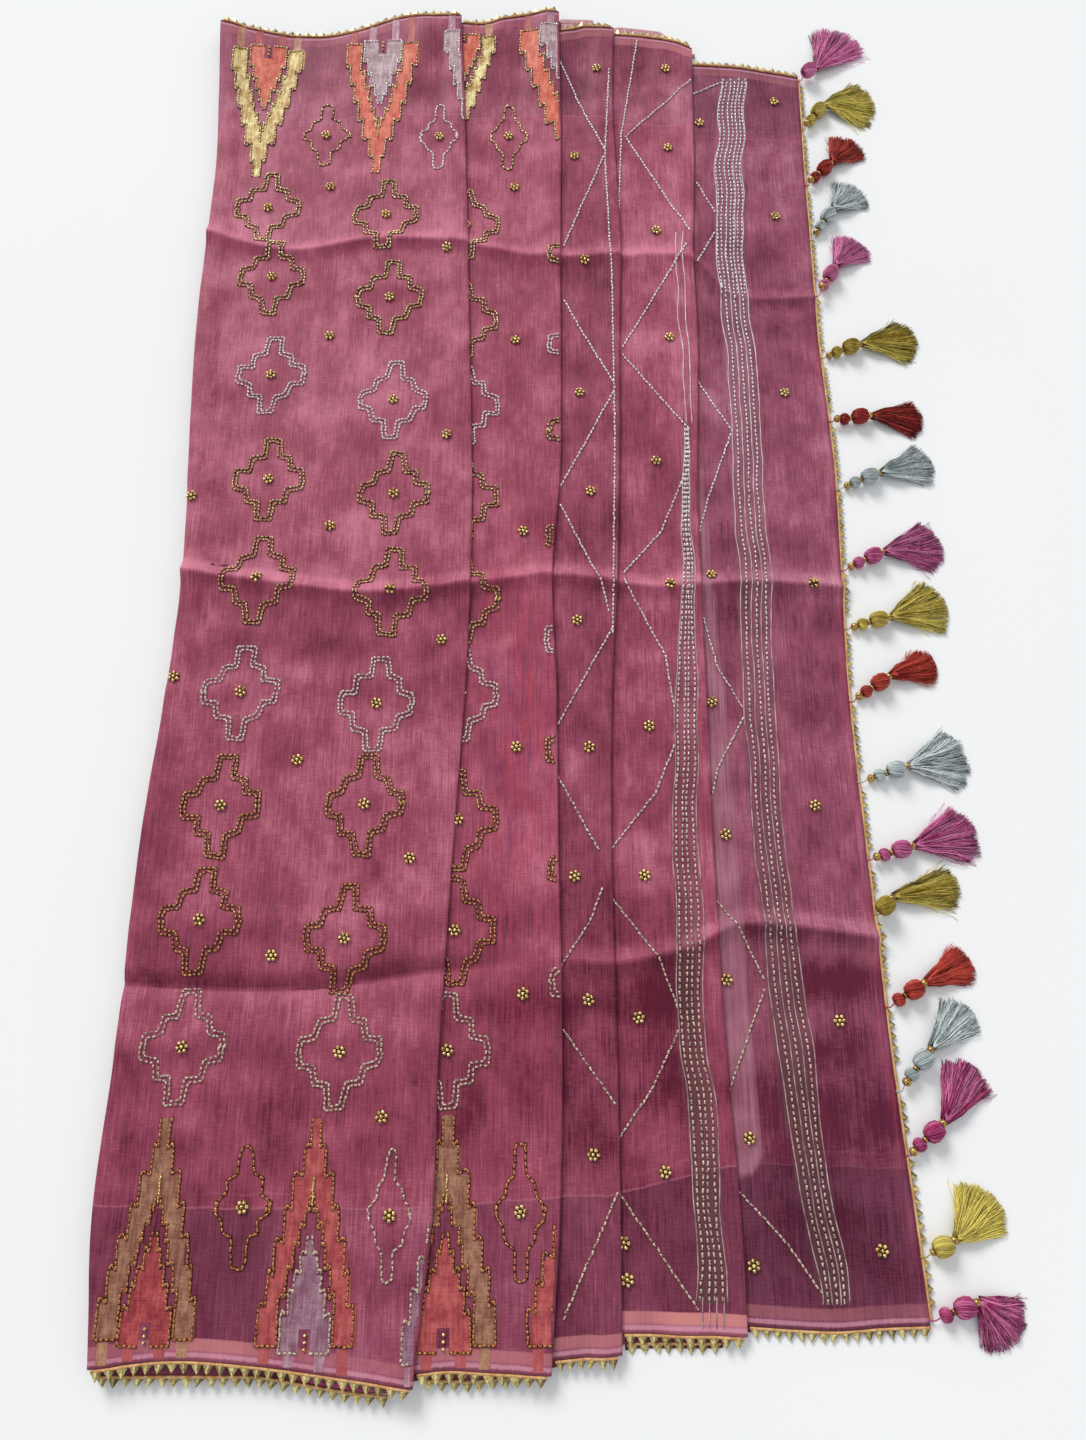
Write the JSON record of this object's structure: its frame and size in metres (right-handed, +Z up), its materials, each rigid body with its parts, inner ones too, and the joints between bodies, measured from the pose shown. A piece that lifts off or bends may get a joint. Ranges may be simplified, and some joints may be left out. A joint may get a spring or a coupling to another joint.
{
  "type": "folded saree",
  "caption": "Tissue-silk saree folded lengthwise and laid flat in stepped stretches, with picot-edged hems and a row of silk tassels along the open end.",
  "frame": {"origin": "on the surface that the saree lies on, under the middle of its whole outline, tassels included", "axes": "+X across the folds towards the tasselled end, +Y along the folds from the near hems to the far hems, +Z up"},
  "size_m": [0.6362, 1.1888, 0.0199],
  "materials": {
    "tissue_silk": "dusty rose tissue silk with a soft metallic sheen",
    "facing_silk": "plain wine-rose silk",
    "gold_picot": "gold lace loops on a tan cord",
    "magenta_floss": "glossy silk floss",
    "olive_floss": "glossy silk floss",
    "brick_floss": "glossy silk floss",
    "blue_floss": "glossy silk floss"
  },
  "bodies": {
    "root": {"stretch_1": "tissue_silk", "stretch_2": "tissue_silk", "stretch_3": "tissue_silk", "stretch_4": "tissue_silk", "stretch_5": "tissue_silk", "lower_edging_1": "gold_picot", "upper_edging_1": "gold_picot", "lower_edging_2": "gold_picot", "upper_edging_2": "gold_picot", "lower_edging_3": "gold_picot", "upper_edging_3": "gold_picot", "lower_edging_4": "gold_picot", "upper_edging_4": "gold_picot", "lower_edging_5": "gold_picot", "upper_edging_5": "gold_picot", "pallu_facing": "facing_silk", "under_folds": "facing_silk", "under_edging_1": "gold_picot", "under_edging_2": "gold_picot", "under_edging_3": "gold_picot", "end_edging": "gold_picot", "tassel_01": "magenta_floss", "tassel_02": "olive_floss", "tassel_03": "brick_floss", "tassel_04": "blue_floss", "tassel_05": "magenta_floss", "tassel_06": "olive_floss", "tassel_07": "brick_floss", "tassel_08": "blue_floss", "tassel_09": "magenta_floss", "tassel_10": "olive_floss", "tassel_11": "brick_floss", "tassel_12": "blue_floss", "tassel_13": "magenta_floss", "tassel_14": "olive_floss", "tassel_15": "brick_floss", "tassel_16": "blue_floss", "tassel_17": "magenta_floss", "tassel_18": "olive_floss", "tassel_19": "magenta_floss"}
  },
  "joints": []
}
